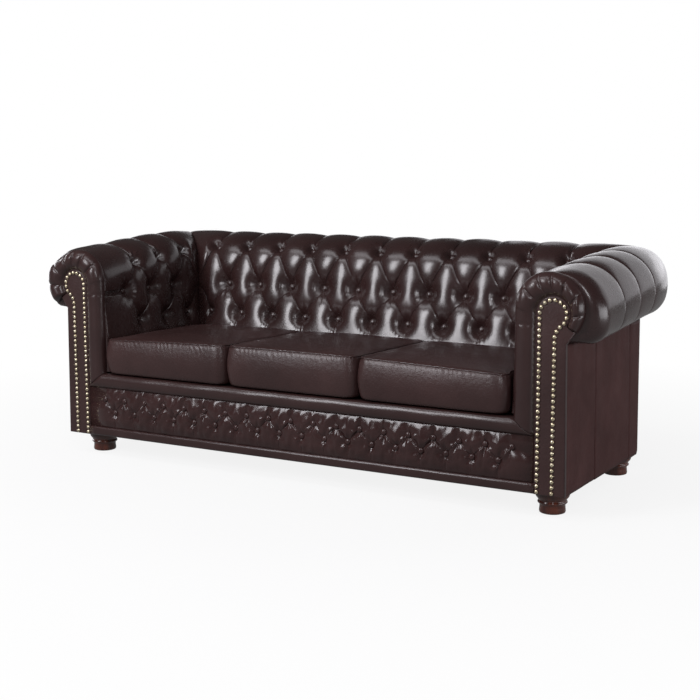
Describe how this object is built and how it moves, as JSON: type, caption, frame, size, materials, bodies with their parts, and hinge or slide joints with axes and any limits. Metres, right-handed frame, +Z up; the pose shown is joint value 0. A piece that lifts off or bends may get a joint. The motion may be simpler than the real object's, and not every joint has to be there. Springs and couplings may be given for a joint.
{
  "type": "three-seater sofa",
  "caption": "Three-seater leather sofa with rolled arms and back, deep diamond buttoning, loose box cushions, nail-headed scroll facings and turned bun feet.",
  "frame": {"origin": "on the floor, under the middle of the sofa's outline", "axes": "+X to the right as seen from the front, -Y to the front, +Z up"},
  "size_m": [2.0488, 0.8254, 0.752],
  "materials": {
    "leather": "glossy dark brown leather",
    "nail_brass": "antique brass",
    "frame_timber": "sawn pine",
    "hardboard": "hardboard",
    "webbing": "woven jute",
    "steel": "drawn wire and zinc plate",
    "lining": "black lining cloth",
    "foot_wood": "dark mahogany stain, satin lacquer",
    "foam": "upholstery foam"
  },
  "bodies": {
    "frame": {"back_pad": "leather", "arm_pad_left": "leather", "arm_pad_right": "leather", "back_buttons": "leather", "arm_buttons_left": "leather", "arm_buttons_right": "leather", "arm_facing_left": "leather", "arm_facing_right": "leather", "arm_border_left": "leather", "arm_border_right": "leather", "front_border": "leather", "front_panel": "leather", "front_buttons": "leather", "base_strip": "leather", "side_cover_front_left": "leather", "side_cover_front_right": "leather", "side_cover_rear_left": "leather", "side_cover_rear_right": "leather", "outer_back": "leather", "nails_left": "nail_brass", "nails_right": "nail_brass", "front_rail": "frame_timber", "rear_rail": "frame_timber", "side_rail_left": "frame_timber", "side_rail_right": "frame_timber", "seat_stretchers": "frame_timber", "corner_blocks": "frame_timber", "arm_post_left": "frame_timber", "arm_post_right": "frame_timber", "corner_post_left": "frame_timber", "corner_post_right": "frame_timber", "arm_top_rail_left": "frame_timber", "arm_top_rail_right": "frame_timber", "arm_tuck_rail_left": "frame_timber", "arm_tuck_rail_right": "frame_timber", "back_top_rail": "frame_timber", "back_tuck_rail": "frame_timber", "back_posts": "frame_timber", "arm_liner_left": "hardboard", "arm_liner_right": "hardboard", "back_webbing": "webbing", "seat_springs": "steel", "spring_clips": "steel", "foot_bolts": "steel", "seat_deck": "lining", "dust_cover": "lining", "bun_feet": "foot_wood"},
    "cushion_left": {"seat_cushion_left": "leather", "cushion_filling_left": "foam"},
    "cushion_middle": {"seat_cushion_middle": "leather", "cushion_filling_middle": "foam"},
    "cushion_right": {"seat_cushion_right": "leather", "cushion_filling_right": "foam"}
  },
  "joints": [
    {"name": "cushion_left_lift", "type": "slide", "parent": "frame", "child": "cushion_left", "axis": [0, 0, 1], "range_m": [0, 0.48]},
    {"name": "cushion_middle_lift", "type": "slide", "parent": "frame", "child": "cushion_middle", "axis": [0, 0, 1], "range_m": [0, 0.48]},
    {"name": "cushion_right_lift", "type": "slide", "parent": "frame", "child": "cushion_right", "axis": [0, 0, 1], "range_m": [0, 0.48]}
  ]
}
